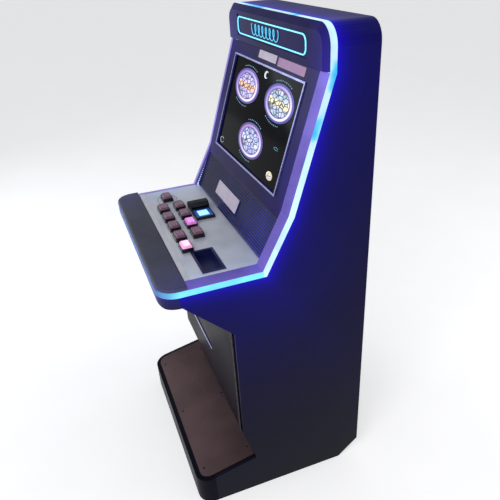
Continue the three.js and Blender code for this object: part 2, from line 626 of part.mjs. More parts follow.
// ---- Rear panel, door, hinge and lock ---------------------------------------------------------
const REAR_Z0 = CHAMFER_Z + 27;
const REAR_OPEN_HALF = REAR_DOOR.w / 2 + 3.5;
function rearPanel() {
  const top = HEIGHT - BOARD - GAP;
  const bend = ROOF_RADIUS - BOARD - GAP;
  const outline = rounded([[-INNER, REAR_Z0], [INNER, REAR_Z0], [INNER, top, bend], [-INNER, top, bend]]);
  return prismY(outline, REAR - BOARD, REAR).subtract(
    block(-REAR_OPEN_HALF, REAR_OPEN_HALF, 0, REAR + 1, REAR_DOOR.z0 - 3, REAR_DOOR.z1 + 3),
  ).subtract(block(-302, -258, 0, REAR + 1, 158, 192));
}
add('rear_panel', rearPanel(), laminate);
const rearFace = REAR - 8;
const REAR_LOCK = { x: -205, z: 750, reach: -28 };
const VENT = { count: 8, w: 260, h: 6, pitch: 14, z: 1040 };
function rearDoor() {
  const { w, z0, z1 } = REAR_DOOR;
  let door = block(-w / 2, w / 2, rearFace - BOARD + 2, rearFace, z0, z1)
    .subtract(cylinderY(LOCK_R + GAP, REAR_LOCK.x, REAR_LOCK.z, 0, REAR));
  for (let i = 0; i < VENT.count; i += 1) {
    const z = VENT.z + i * VENT.pitch;
    door = door.subtract(block(-VENT.w / 2, VENT.w / 2, 0, REAR, z, z + VENT.h));
  }
  return door;
}
add('rear_door', rearDoor(), laminate);
add('rear_door_lock', camLock(REAR_LOCK, rearFace, 1), steel);
const rearHingeX = REAR_DOOR.w / 2 - 3.5;
const rearHingeY = rearFace + HINGE_OFFSET;
add('rear_door_hinge', cylinderZ(HINGE_R, rearHingeX, rearHingeY, REAR_DOOR.z0 + 2, REAR_DOOR.z1 - 2, 12), steel);

function powerInlet() {
  const body = block(-301.5, -258.5, REAR - 40, REAR, 158.5, 191.5);
  return body.subtract(block(-293, -267, REAR - 18, REAR + 1, 166, 184));
}
add('power_inlet', powerInlet(), blackPlastic);

// ---- Inside: game board, power supply, cash box ------------------------------------------------
function gameBoard() {
  let unit = block(INNER - 12, INNER - 9, 40, 300, 560, 860);
  const chips = [[120, 700, 60, 60, 26], [230, 780, 40, 80, 14], [90, 600, 50, 30, 18], [220, 620, 70, 40, 12]];
  for (const [y, z, dy, dz, tall] of chips) {
    unit = unit.add(block(INNER - 12 - tall, INNER - 11, y - dy / 2, y + dy / 2, z - dz / 2, z + dz / 2));
  }
  for (const [y, z] of [[50, 570], [50, 850], [290, 570], [290, 850]]) {
    unit = unit.add(block(INNER - 10, INNER - GAP, y - 4, y + 4, z - 4, z + 4));
  }
  return unit;
}
add('game_board', gameBoard(), board);
add('power_supply', block(-300, -140, 120, 230, 12 + GAP, 12 + GAP + 60), steel);
function cashBox() {
  return block(-20, 240, -30, 200, 12 + GAP, 190).subtract(block(-16, 236, -26, 196, 17, 191));
}
add('cash_box', cashBox(), steel);

export default group;
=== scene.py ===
"""Looks for the upright slot machine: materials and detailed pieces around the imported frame."""
import math

import bmesh
import bpy
from mathutils import Matrix, Vector


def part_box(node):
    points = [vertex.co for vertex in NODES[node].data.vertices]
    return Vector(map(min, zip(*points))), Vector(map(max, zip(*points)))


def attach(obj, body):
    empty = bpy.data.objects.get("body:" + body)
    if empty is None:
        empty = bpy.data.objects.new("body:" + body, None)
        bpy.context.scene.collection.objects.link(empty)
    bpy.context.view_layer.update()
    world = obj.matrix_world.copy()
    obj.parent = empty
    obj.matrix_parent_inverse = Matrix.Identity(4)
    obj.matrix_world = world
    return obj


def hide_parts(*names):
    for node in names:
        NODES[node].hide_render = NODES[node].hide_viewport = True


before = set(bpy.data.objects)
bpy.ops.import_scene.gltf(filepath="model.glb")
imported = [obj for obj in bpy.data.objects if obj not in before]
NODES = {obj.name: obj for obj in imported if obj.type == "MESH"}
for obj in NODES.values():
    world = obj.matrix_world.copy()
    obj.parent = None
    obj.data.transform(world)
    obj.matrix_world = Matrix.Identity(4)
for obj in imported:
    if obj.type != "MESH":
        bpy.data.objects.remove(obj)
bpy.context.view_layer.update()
CABINET = "cabinet"
TAU = math.tau


# ---- Camera, world and lights -----------------------------------------------------------------
def add_camera():
    data = bpy.data.cameras.new("camera")
    data.sensor_width = 36.0
    data.lens = 39.02
    data.shift_x = -0.0252
    data.shift_y = 0.0542
    data.clip_start = 0.05
    camera = bpy.data.objects.new("camera", data)
    camera.location = (1.7346, -0.5085, 1.8348)
    camera.rotation_euler = (1.01547, 0.04652, 1.19408)
    bpy.context.scene.collection.objects.link(camera)
    bpy.context.scene.camera = camera


def add_area(name, location, target, size, power, color=(1, 1, 1)):
    data = bpy.data.lights.new(name, "AREA")
    data.shape = "DISK"
    data.size = size
    data.energy = power
    data.color = color
    light = bpy.data.objects.new(name, data)
    light.location = location
    aim = Vector(target) - Vector(location)
    light.rotation_euler = aim.to_track_quat("-Z", "Y").to_euler()
    bpy.context.scene.collection.objects.link(light)


add_camera()
bpy.context.scene.view_settings.view_transform = "Standard"
world = bpy.data.worlds.new("studio")
world.use_nodes = True
backdrop = world.node_tree.nodes["Background"]
backdrop.inputs["Color"].default_value = (0.97, 0.98, 1.0, 1)
rays = world.node_tree.nodes.new("ShaderNodeLightPath")
level = world.node_tree.nodes.new("ShaderNodeMapRange")
level.inputs["To Min"].default_value = 0.4
level.inputs["To Max"].default_value = 0.95
world.node_tree.links.new(rays.outputs["Is Camera Ray"], level.inputs["Value"])
world.node_tree.links.new(level.outputs["Result"], backdrop.inputs["Strength"])
bpy.context.scene.world = world
add_area("key", (2.6, -2.6, 3.6), (0, 0, 0.9), 2.4, 60)
add_area("fill", (-2.8, -2.2, 2.4), (0, 0, 0.9), 2.6, 30, (0.9, 0.93, 1.0))
add_area("back", (0.8, 3.2, 3.0), (0, 0, 1.0), 2.4, 35)


# ---- Materials ------------------------------------------------------------------------------
class Look:
    """A Principled material built up from procedural nodes."""

    def __init__(self, name, **sockets):
        self.material = bpy.data.materials.new(name)
        self.material.use_nodes = True
        self.tree = self.material.node_tree
        self.shader = self.tree.nodes["Principled BSDF"]
        self.coords = self.tree.nodes.new("ShaderNodeTexCoord")
        for key, value in sockets.items():
            self.set(key, value)

    def set(self, key, value):
        socket = self.shader.inputs[key.replace("_", " ")]
        socket.default_value = (*value, 1) if isinstance(value, tuple) and len(value) == 3 else value

    def link(self, source, key):
        self.tree.links.new(source, self.shader.inputs[key.replace("_", " ")])

    def node(self, kind, inputs=(), **props):
        made = self.tree.nodes.new("ShaderNode" + kind)
        for key, value in props.items():
            setattr(made, key, value)
        for key, value in dict(inputs).items():
            if isinstance(value, bpy.types.NodeSocket):
                self.tree.links.new(value, made.inputs[key])
            else:
                made.inputs[key].default_value = value
        return made

    def math(self, operation, a, b=0.0, c=0.0):
        return self.node("Math", {0: a, 1: b, 2: c}, operation=operation).outputs[0]

    def object_coords(self, stretch=(1, 1, 1)):
        mapping = self.node("Mapping", {"Vector": self.coords.outputs["Object"], "Scale": stretch})
        return mapping.outputs["Vector"]

    def xyz(self):
        return self.node("SeparateXYZ", {0: self.coords.outputs["Object"]}).outputs

    def noise(self, scale, detail=4, roughness=0.55, stretch=(1, 1, 1)):
        return self.node("TexNoise", {
            "Vector": self.object_coords(stretch), "Scale": scale,
            "Detail": detail, "Roughness": roughness,
        }).outputs["Fac"]

    def ramp(self, factor, stops):
        made = self.node("ValToRGB", {"Fac": factor})
        elements = made.color_ramp.elements
        for place, color in stops[2:]:
            elements.new(place)
        for element, (place, color) in zip(elements, stops):
            element.position = place
            element.color = (*color, 1)
        return made.outputs["Color"]

    def span(self, factor, low, high, start=0.3, end=0.7):
        return self.node("MapRange", {
            "Value": factor, "From Min": start, "From Max": end, "To Min": low, "To Max": high,
        }).outputs["Result"]

    def mix(self, factor, a, b):
        made = self.tree.nodes.new("ShaderNodeMix")
        made.data_type = "RGBA"
        for index, value in ((0, factor), (6, a), (7, b)):
            if isinstance(value, bpy.types.NodeSocket):
                self.tree.links.new(value, made.inputs[index])
            else:
                made.inputs[index].default_value = value if index == 0 else (*value, 1)
        return made.outputs[2]

    def bump(self, height, strength, distance=0.0004):
        made = self.node("Bump", {"Height": height, "Strength": strength, "Distance": distance})
        self.link(made.outputs["Normal"], "Normal")


def finish(name, tones, scale=14, rough=(0.3, 0.45), bump=0.15, grain=700, stretch=(1, 1, 1), **sockets):
    """Two-tone mottling, uneven roughness, fine grain and a few long scratches."""
    look = Look(name, **sockets)
    mottle = look.ramp(look.noise(scale, 5), [(0.3, tones[0]), (0.7, tones[1])])
    scratch = look.noise(9, 3, 0.8, (1.3, 70, 9))
    scratched = look.ramp(scratch, [(0.66, (0, 0, 0)), (0.74, (1, 1, 1))])
    fleck = tuple(min(1.0, 1.5 * c + 0.015) for c in tones[1])
    color = look.mix(look.math("MULTIPLY", scratched, 0.35), mottle, fleck)
    look.link(color, "Base Color")
    worn = look.span(look.noise(scale * 0.4, 4), rough[0], rough[1])
    look.link(look.math("MULTIPLY_ADD", scratched, 0.08, worn), "Roughness")
    look.bump(look.noise(grain, 3, 0.6, stretch), bump)
    return look


HALF_WIDTH = 0.4
DECK_Z = 0.983
TREAD_SLOPE = 0.212

# Rear edge of the light band: normals of its two slopes, its corners and its lower edge.
SLOPE_UP = (0.949, -0.314)
SLOPE_LOW = (0.884, -0.467)
BAND_TOP = (0.217, 1.53)
BAND_KNEE = (0.088, 1.136)
BAND_FOOT_Z = 0.953


def band_distance(look):
    """Distance in metres from the light band's rear edge, measured across a side panel."""
    _, y, z = look.xyz()

    def across(normal, y0, z0):
        a = look.math("MULTIPLY", look.math("SUBTRACT", y, y0), normal[0])
        return look.math("MULTIPLY_ADD", look.math("SUBTRACT", z, z0), normal[1], a)

    upright = look.math("SUBTRACT", y, BAND_TOP[0])
    upper = across(SLOPE_UP, *BAND_TOP)
    lower = across(SLOPE_LOW, *BAND_KNEE)
    deck = look.math("SUBTRACT", BAND_FOOT_Z, z)
    most = look.math("MAXIMUM", look.math("MAXIMUM", upright, upper), look.math("MAXIMUM", lower, deck))
    return look.math("MAXIMUM", most, 0.0)


def fade(look, distance, reach):
    """Falls from 1 at no distance, by a factor of e for each reach."""
    return look.math("EXPONENT", look.math("MULTIPLY", distance, -1.0 / reach))


def laminate_with_painted_glow():
    """Dark laminate whose outside carries a painted blue glow from the light band: emission by position,
    not light that the band throws.
    """
    look = finish("laminate_painted_glow", ((0.0016, 0.0014, 0.004), (0.003, 0.0025, 0.006)), 6,
                  (0.3, 0.42), 0.05, 420, Specular_IOR_Level=0.1)
    look.set("Emission_Color", (0.010, 0.0, 1.0))
    distance = band_distance(look)
    # Painted glow: emission that fades with distance from the light band's rear edge, on the outside faces
    # only.
    near = look.math("MULTIPLY", fade(look, distance, 0.022), 0.42)
    wide = look.math("MULTIPLY", fade(look, distance, 0.27), 0.125)
    cloud = look.span(look.noise(3.2, 3), 0.85, 1.15)
    x, _, z = look.xyz()
    wide_x = look.math("ABSOLUTE", x)
    flat = look.math("MAXIMUM", look.math("SUBTRACT", wide_x, 0.39), look.math("SUBTRACT", z, 1.64))
    shoulder = look.math("SUBTRACT", look.math("ADD", wide_x, z), 1.992)
    outside = look.math("GREATER_THAN", look.math("MAXIMUM", flat, shoulder), 0.0)
    strength = look.math("MULTIPLY", look.math("ADD", near, wide), cloud)
    look.link(look.math("MULTIPLY", strength, outside), "Emission Strength")
    return look


def led_look():
    """The light band: pale with cyan patches, cyan along the deck and blue round the nose."""
    look = Look("led_diffuser", Roughness=0.5, Specular_IOR_Level=0.15)
    look.link(look.span(look.noise(30, 2), 0.06, 0.12), "Base Color")
    _, y, _ = look.xyz()
    spots = look.noise(7.5, 2, 0.5)
    pale = look.ramp(spots, [
        (0.30, (0.0, 0.36, 0.72)), (0.36, (0.06, 0.48, 0.72)), (0.42, (0.36, 0.56, 0.66)),
    ])
    on_deck = look.math("LESS_THAN", y, -0.02)
    hot = look.mix(look.math("MULTIPLY", on_deck, 0.85), pale, (0.05, 0.5, 0.68))
    nose = look.node("MapRange", {
        "Value": y, "From Min": -0.349, "From Max": -0.285, "To Min": 1.0, "To Max": 0.0,
    }).outputs["Result"]
    color = look.mix(nose, hot, (0.0, 0.10, 0.44))
    look.link(color, "Emission Color")
    pulse = look.span(look.noise(7.5, 2, 0.5), 1.3, 1.8, 0.35, 0.65)
    dimmed = look.math("MULTIPLY_ADD", nose, -0.35, 1.0)
    look.link(look.math("MULTIPLY", pulse, dimmed), "Emission Strength")
    look.bump(look.noise(260, 2), 0.1)
    return look


def edge_painted_glow(name, tones, scale, rough, bump, grain, glow_edge, glow_middle,
             color=(0.10, 0.07, 1.0), **sockets):
    """A surface with painted light of one colour towards the cabinet's two sides: emission by position, not
    light thrown by the strips.
    """
    look = finish(name, tones, scale, rough, bump, grain, **sockets)
    look.set("Emission_Color", color)
    x, _, _ = look.xyz()
    inward = look.math("SUBTRACT", HALF_WIDTH, look.math("ABSOLUTE", x))
    # Painted glow: strong near the two sides, weak in the middle.
    level = look.math("MULTIPLY_ADD", fade(look, inward, 0.07), glow_edge, glow_middle)
    cloud = look.span(look.noise(5.5, 3), 0.6, 1.4)
    look.link(look.math("MULTIPLY", level, cloud), "Emission Strength")
    return look


def louvre_look():
    """Gloss slats with painted blue light: emission by position makes the slopes facing up glow and leaves
    the grooves between them dark.
    """
    look = finish("louvre_gloss", ((0.003, 0.003, 0.010), (0.006, 0.006, 0.018)), 7,
                  (0.14, 0.24), 0.05, 500, Specular_IOR_Level=0.25)
    look.set("Emission_Color", (0.07, 0.09, 0.8))
    x, y, z = look.xyz()
    along = look.math("MULTIPLY_ADD", look.math("SUBTRACT", KNEE.y, y), LOUVRE_UP.y,
                      look.math("MULTIPLY", look.math("SUBTRACT", KNEE.z, z), LOUVRE_UP.z))
    pitch = ((KNEE - LOUVRE_FOOT).length - 3 * LOUVRE_MARGIN) / LOUVRE_COUNT
    slat = look.math("FRACT", look.math("DIVIDE", look.math("SUBTRACT", along, LOUVRE_MARGIN), pitch))
    # Painted light and shade: bright on each slope facing up, dark in the grooves, stronger towards the +X
    # side.
    lit = look.ramp(slat, [
        (0.0, (0.25, 0.25, 0.25)), (0.40, (1, 1, 1)), (0.48, (0.5, 0.5, 0.5)), (0.62, (0, 0, 0)),
    ])
    side = look.math("SUBTRACT", HALF_WIDTH, x)
    level = look.math("MULTIPLY_ADD", fade(look, side, 0.2), 0.42, 0.08)
    cloud = look.span(look.noise(5.5, 3), 0.5, 1.5)
    look.link(look.math("MULTIPLY", look.math("MULTIPLY", level, cloud), lit), "Emission Strength")
    return look


def nose_look():
    """Dark moulding with a little painted glow just under the light band: emission by height, not light
    from the band.
    """
    look = finish("nose_moulding", ((0.003, 0.003, 0.006), (0.006, 0.006, 0.011)), 12,
                  (0.28, 0.4), 0.1, 700, Specular_IOR_Level=0.2)
    look.set("Emission_Color", (0.012, 0.0, 1.0))
    _, _, z = look.xyz()
    # Painted glow: emission fading downward from the light band's lower edge.
    level = fade(look, look.math("MAXIMUM", look.math("SUBTRACT", BAND_FOOT_Z, z), 0.0), 0.028)
    look.link(look.math("MULTIPLY", level, look.span(look.noise(6, 3), 0.14, 0.26)), "Emission Strength")
    return look


LAMINATE = laminate_with_painted_glow()
NOSE = nose_look()
DARK = finish("laminate_dark", ((0.0025, 0.0023, 0.007), (0.005, 0.0045, 0.013)), 8,
              (0.34, 0.46), 0.04, 700, Specular_IOR_Level=0.04)
INSIDE = finish("raw_board", ((0.05, 0.043, 0.036), (0.085, 0.072, 0.058)), 30, (0.6, 0.8), 0.3, 500)
LED = led_look()
MOULD = finish("black_moulding", ((0.006, 0.006, 0.009), (0.012, 0.012, 0.017)), 40,
               (0.38, 0.52), 0.25, 1600, Specular_IOR_Level=0.35)
# Bezel, trim, plate and hand rest below carry painted glow from the light strips, as emission by position.
BEZEL = edge_painted_glow("bezel_gloss", ((0.004, 0.003, 0.010), (0.008, 0.006, 0.018)), 9, (0.16, 0.26), 0.04, 500,
                 0.15, 0.05, Specular_IOR_Level=0.05)
TRIM = edge_painted_glow("silver_trim", ((0.09, 0.07, 0.30), (0.15, 0.12, 0.42)), 12, (0.24, 0.36), 0.08, 900,
                0.30, 0.03, (0.26, 0.18, 1.0), Metallic=0.5)
FRAME = finish("screen_frame", ((0.26, 0.28, 0.55), (0.4, 0.42, 0.75)), 30, (0.2, 0.3), 0.08, 900,
               Metallic=0.8)
BORDER = finish("deck_border", ((0.74, 0.76, 0.84), (0.88, 0.90, 0.97)), 18, (0.32, 0.42), 0.15, 300,
                (1, 14, 1), Metallic=0.6)
PLATE = edge_painted_glow("brushed_plate", ((0.62, 0.64, 0.70), (0.84, 0.85, 0.92)), 7, (0.28, 0.4), 0.22, 120,
                 0.22, 0.02, (0.12, 0.4, 0.9), stretch=(1, 24, 24), Metallic=0.4)
PAD = edge_painted_glow("hand_rest", ((0.030, 0.034, 0.055), (0.048, 0.053, 0.080)), 11, (0.42, 0.55), 0.3, 1300,
               0.08, 0.006)
KICK = finish("kick_plate", ((0.055, 0.030, 0.034), (0.105, 0.060, 0.062)), 5, (0.2, 0.36), 0.14, 160,
              (1, 18, 1), Metallic=0.6)
STEEL = finish("bright_steel", ((0.42, 0.42, 0.44), (0.62, 0.62, 0.64)), 40, (0.2, 0.34), 0.1, 700,
               Metallic=0.95)
DARK_STEEL = finish("dark_screws", ((0.03, 0.025, 0.035), (0.06, 0.05, 0.07)), 60, (0.25, 0.4), 0.1, 900,
                    Metallic=0.9)
SHEET = finish("sheet_steel", ((0.28, 0.29, 0.31), (0.38, 0.39, 0.41)), 14, (0.35, 0.5), 0.15, 200,
               (1, 1, 12), Metallic=0.6)
NAVY = finish("tray_navy", ((0.010, 0.012, 0.075), (0.018, 0.021, 0.12)), 20, (0.3, 0.42), 0.2, 1200,
              Specular_IOR_Level=0.3)
GLASS = finish("display_glass", ((0.001, 0.001, 0.002), (0.002, 0.003, 0.005)), 4, (0.06, 0.10), 0.01, 90,
               Specular_IOR_Level=0.03)
BOARD = finish("circuit_board", ((0.006, 0.06, 0.03), (0.012, 0.10, 0.05)), 60, (0.3, 0.45), 0.3, 420)
PAPER = finish("blank_label", ((0.52, 0.46, 0.58), (0.62, 0.56, 0.68)), 25, (0.5, 0.6), 0.1, 900)
PINK_PAPER = finish("blank_label_pink", ((0.34, 0.18, 0.38), (0.44, 0.25, 0.46)), 25, (0.4, 0.5), 0.1, 900)
HOUSING = finish("button_housing", ((0.006, 0.004, 0.008), (0.012, 0.008, 0.014)), 60,
                 (0.22, 0.32), 0.1, 1500, Specular_IOR_Level=0.35)


def glow(name, color, strength, tones, **sockets):
    """A lit plastic or tube with slightly uneven brightness."""
    look = finish(name, tones, 50, (0.25, 0.35), 0.05, 900, **sockets)
    look.set("Emission_Color", color)
    flicker = look.span(look.noise(60, 2), strength * 0.85, strength * 1.15)
    look.link(flicker, "Emission Strength")
    return look


NEON = glow("neon_tube", (0.08, 0.62, 0.8), 1.1, ((0.3, 0.7, 0.9), (0.4, 0.8, 1.0)))
NEON_DEEP = glow("neon_motif", (0.04, 0.42, 0.7), 0.9, ((0.1, 0.5, 0.7), (0.2, 0.6, 0.8)))
CAP = glow("cap_unlit", (0.3, 0.1, 0.2), 0.12, ((0.085, 0.04, 0.07), (0.14, 0.075, 0.12)), Coat_Weight=0.2)
CAP_PINK = glow("cap_pink", (0.75, 0.16, 0.75), 0.5, ((0.35, 0.12, 0.35), (0.45, 0.18, 0.45)))
CAP_PALE = glow("cap_pale", (0.95, 0.35, 0.8), 0.6, ((0.5, 0.28, 0.45), (0.6, 0.36, 0.55)))
LENS_PINK = glow("lens_pink", (0.85, 0.36, 0.9), 0.75, ((0.35, 0.15, 0.38), (0.45, 0.2, 0.48)))
LENS_PALE = glow("lens_pale", (1.0, 0.75, 0.95), 0.85, ((0.45, 0.35, 0.43), (0.55, 0.42, 0.5)))
LENS_UNLIT = glow("lens_unlit", (0.35, 0.15, 0.28), 0.16, ((0.13, 0.07, 0.12), (0.2, 0.12, 0.18)),
                  Coat_Weight=0.3)
WINDOW = glow("bill_window", (0.25, 0.62, 1.0), 1.2, ((0.4, 0.6, 0.8), (0.5, 0.7, 0.9)))
WINDOW_RIM = glow("bill_rim", (0.01, 0.08, 0.4), 0.6, ((0.01, 0.03, 0.12), (0.02, 0.05, 0.18)))
ICON = glow("icon_pale", (0.6, 0.68, 0.75), 0.7, ((0.3, 0.34, 0.38), (0.4, 0.44, 0.48)))
ARC = glow("icon_arc", (0.1, 0.35, 0.5), 0.7, ((0.05, 0.15, 0.2), (0.1, 0.2, 0.26)))


def medallion(name, inner, accent, ring, edge, petals):
    """A lit oval game badge: faceted centre, dark groove, bright ring and coloured edge."""
    look = Look(name, Roughness=0.3)
    uv = look.coords.outputs["UV"]
    parts = look.node("SeparateXYZ", {0: uv}).outputs
    squares = [look.math("POWER", part, 2.0) for part in (parts[0], parts[1])]
    radius = look.math("SQRT", look.math("ADD", *squares))
    angle = look.math("ARCTAN2", parts[1], parts[0])
    cells = look.node("TexVoronoi", {"Vector": uv, "Scale": 4.2}, feature="DISTANCE_TO_EDGE")
    seams = cells.outputs["Distance"]
    petal = look.math("MULTIPLY_ADD", look.math("SINE", look.math("MULTIPLY", angle, petals)), 0.5, 0.5)
    pale = look.mix(petal, inner, (0.5, 0.48, 0.7))
    belt = look.math("LESS_THAN", look.math("ABSOLUTE", parts[1]), 0.17)
    tinted = look.mix(look.math("MULTIPLY", belt, 0.8), pale, accent)
    seam = look.ramp(seams, [(0.06, (1, 1, 1)), (0.12, (0, 0, 0))])
    core = look.mix(seam, tinted, (0.015, 0.012, 0.06))
    sweep = look.math("MULTIPLY_ADD", look.math("SINE", look.math("ADD", angle, 2.4)), 0.45, 0.55)
    rim = look.mix(sweep, ring, (0.6, 0.55, 0.82))
    outer = look.ramp(radius, [
        (0.0, (0, 0, 0)), (0.74, (0, 0, 0)), (0.77, (1, 1, 1)), (0.86, (1, 1, 1)), (0.9, (0, 0, 0)),
    ])
    groove = look.ramp(radius, [(0.69, (0, 0, 0)), (0.72, (1, 1, 1))])
    grooved = look.mix(groove, core, (0.02, 0.015, 0.09))
    edged = look.mix(look.ramp(radius, [(0.86, (0, 0, 0)), (0.9, (1, 1, 1))]), grooved, edge)
    color = look.mix(outer, edged, rim)
    look.link(color, "Emission Color")
    look.link(color, "Base Color")
    look.set("Emission_Strength", 0.9)
    return look


BADGES = [
    ("badge_left", -0.135, 0.091, medallion(
        "badge_violet", (0.32, 0.24, 0.62), (0.85, 0.42, 0.08), (0.14, 0.06, 0.42), (0.05, 0.02, 0.2), 7)),
    ("badge_right", 0.151, 0.091, medallion(
        "badge_green", (0.16, 0.32, 0.36), (0.75, 0.66, 0.25), (0.16, 0.07, 0.38), (0.02, 0.02, 0.2), 5)),
    ("badge_low", 0.006, 0.249, medallion(
        "badge_blue", (0.17, 0.26, 0.62), (0.55, 0.62, 0.85), (0.22, 0.08, 0.34), (0.04, 0.02, 0.18), 9)),
]
COIN = medallion("badge_coin", (0.9, 0.85, 0.4), (0.6, 0.5, 0.1), (0.95, 0.9, 0.55), (0.3, 0.25, 0.05), 4)


# ---- Mesh helpers ---------------------------------------------------------------------------
def place(name, bm, look, body=CABINET, slot="black_plastic", replaces=(), matrix=None):
    """Makes a piece from a bmesh; it rides a body and may stand in for CAD nodes."""
    if matrix is not None:
        bm.transform(matrix)
    bmesh.ops.recalc_face_normals(bm, faces=bm.faces)
    data = bpy.data.meshes.new(name)
    bm.to_mesh(data)
    bm.free()
    for polygon in data.polygons:
        polygon.use_smooth = True
    looks = look if isinstance(look, (list, tuple)) else [look]
    for one in looks:
        data.materials.append(one.material)
    obj = bpy.data.objects.new(name, data)
    bpy.context.scene.collection.objects.link(obj)
    data.set_sharp_from_angle(angle=math.radians(35))
    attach(obj, body)
    if replaces:
        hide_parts(*replaces)
    return obj


def skin(bm, rings, index=0):
    """Quads between closed loops of points with the same count, and flat caps on the ends."""
    loops = [[bm.verts.new(p) for p in ring] for ring in rings]
    made = []
    for low, high in zip(loops, loops[1:]):
        for i in range(len(low)):
            j = (i + 1) % len(low)
            made.append(bm.faces.new((low[i], low[j], high[j], high[i])))
    made.append(bm.faces.new(loops[0][::-1]))
    made.append(bm.faces.new(loops[-1]))
    for face in made:
        face.material_index = index
    return bm


def rounded_rect(w, d, r, steps=6, cx=0.0, cy=0.0):
    out = []
    for sx, sy, start in ((1, 1, 0), (-1, 1, 1), (-1, -1, 2), (1, -1, 3)):
        for k in range(steps + 1):
            a = (start + k / steps) * TAU / 4
            out.append((cx + sx * (w / 2 - r) + r * math.cos(a), cy + sy * (d / 2 - r) + r * math.sin(a)))
    return out


def at_height(outline, z):
    return [Vector((x, y, z)) for x, y in outline]


def bevelled(bm, low, high, bevel=0.001, index=0, segments=2):
    """A box between two corners with rounded edges."""
    low, high = Vector(low), Vector(high)
    made = bmesh.ops.create_cube(bm, size=1.0)["verts"]
    bmesh.ops.scale(bm, vec=high - low, verts=made)
    bmesh.ops.translate(bm, vec=(low + high) / 2, verts=made)
    edges = list({e for v in made for e in v.link_edges})
    cut = bmesh.ops.bevel(bm, geom=edges, offset=bevel, segments=segments, profile=0.5, affect="EDGES")
    faces = {f for v in cut["verts"] for f in v.link_faces}
    for face in faces:
        face.material_index = index
    return bm


def lathe(bm, profile, matrix, steps=24, index=0):
    """Closed body turned round the local Z axis from (radius, height) points."""
    rings = []
    for radius, height in profile:
        ring = [(radius * math.cos(TAU * k / steps), radius * math.sin(TAU * k / steps), height)
                for k in range(steps)]
        rings.append([matrix @ Vector(p) for p in ring])
    return skin(bm, rings, index=index)


def tube(name, points, radius, look, closed=False, body=CABINET):
    """A round tube along a run of points."""
    curve = bpy.data.curves.new(name, "CURVE")
    curve.dimensions = "3D"
    curve.bevel_depth = radius
    curve.bevel_resolution = 3
    spline = curve.splines.new("POLY")
    spline.points.add(len(points) - 1)
    for point, place_at in zip(spline.points, points):
        point.co = (*place_at, 1)
    spline.use_cyclic_u = closed
    curve.use_fill_caps = not closed
    curve.materials.append(look.material)
    obj = bpy.data.objects.new(name, curve)
    bpy.context.scene.collection.objects.link(obj)
    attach(obj, body)
    return obj


def plane_frame(origin, up, out):
    """Matrix whose local x is +X, local y is up the face and local z points out of it."""
    side = Vector((1, 0, 0))
    columns = Matrix((side, Vector(up).normalized(), Vector(out).normalized())).transposed().to_4x4()
    return Matrix.Translation(origin) @ columns


TILT = math.radians(18.6)
SCREEN = plane_frame((0, 0.1754, 1.4906), (0, math.sin(TILT), math.cos(TILT)),
                     (0, -math.cos(TILT), math.sin(TILT)))
GLASS_FRONT = -0.004
KNEE = Vector((0, 0.0493, 1.1158))
LOUVRE_FOOT = Vector((0, -0.015, DECK_Z))
LOUVRE_UP = (KNEE - LOUVRE_FOOT).normalized()
LOUVRE_MARGIN = 0.004
LOUVRE_COUNT = 15
LOUVRE_FACE = plane_frame(KNEE, LOUVRE_UP, (0, -LOUVRE_UP.z, LOUVRE_UP.y))
SIGN = plane_frame((0, 0.185, 1.585), (0, 0, 1), (0, -1, 0))


# ---- CAD nodes that stay: better materials ---------------------------------------------------
def dress(look, *names):
    for name in names:
        obj = NODES[name]
        obj.data.materials.clear()
        obj.data.materials.append(look.material)


dress(LAMINATE, "side_panel_left", "side_panel_right", "roof_shell")
dress(DARK, "lower_door", "under_deck_panel", "toe_panel", "foot_step", "rear_panel", "rear_door")
dress(INSIDE, "base_tray")
dress(LED, "led_band_arch", "led_band_deck")
dress(BEZEL, "marquee_housing", "monitor_bezel", "sign_panel")
dress(TRIM, "side_trim_left", "side_trim_right")
dress(FRAME, "screen_frame")
dress(BORDER, "deck_border")
dress(PLATE, "control_plate")
dress(KICK, "foot_plate")
dress(GLASS, "screen_glass")
dress(louvre_look(), "louvre_panel")
dress(NOSE, "deck_nose")
dress(MOULD, "monitor_body", "speaker_left", "speaker_right", "bill_validator", "power_inlet",
      "bill_hood")
dress(NAVY, "coin_tray")
dress(BOARD, "game_board")
dress(SHEET, "power_supply", "cash_box")
dress(STEEL, "lower_door_lock", "rear_door_lock")
dress(WINDOW_RIM, "bill_tongue")


# ---- Sign: neon outline and a looping motif ---------------------------------------------------
def add_sign():
    outline = rounded_rect(0.562, 0.054, 0.02, 6)
    tube("sign_outline", [SIGN @ Vector((x, y, 0.0032)) for x, y in outline], 0.0021, NEON, True)
    loops = []
    count = 120
    for k in range(count + 1):
        t = k / count
        a = t * TAU * 7
        x = -0.14 + 0.22 * t - 0.012 * math.sin(a)
        loops.append(SIGN @ Vector((x, 0.017 * math.cos(a) - 0.001, 0.0024)))
    tube("sign_motif", loops, 0.0012, NEON_DEEP)


# ---- Screen: badges, icons and blank labels -----------------------------------------------------
def badge(name, cx, down, half_w, half_h, look):
    """Domed oval disc whose UVs run from -1 to 1 across it."""
    bm = bmesh.new()
    layer = bm.loops.layers.uv.new("uv")
    steps = 48
    rings = [(1.0, 0.0), (1.0, 0.0006), (0.9, 0.0014), (0.64, 0.0011), (0.6, 0.0016), (0.3, 0.0019)]
    loops = []
    for scale, height in rings:
        loops.append([
            bm.verts.new((scale * math.cos(TAU * k / steps), scale * math.sin(TAU * k / steps), height))
            for k in range(steps)
        ])
    for low, high in zip(loops, loops[1:]):
        for i in range(steps):
            j = (i + 1) % steps
            bm.faces.new((low[i], low[j], high[j], high[i]))
    bm.faces.new(loops[0][::-1])
    bm.faces.new(loops[-1])
    for face in bm.faces:
        for loop in face.loops:
            loop[layer].uv = (loop.vert.co.x, loop.vert.co.y)
    for vert in bm.verts:
        vert.co.x = cx + vert.co.x * half_w
        vert.co.y = -down + vert.co.y * half_h
        vert.co.z += GLASS_FRONT + 0.0002
    place(name, bm, look, slot="screen_glass", matrix=SCREEN)


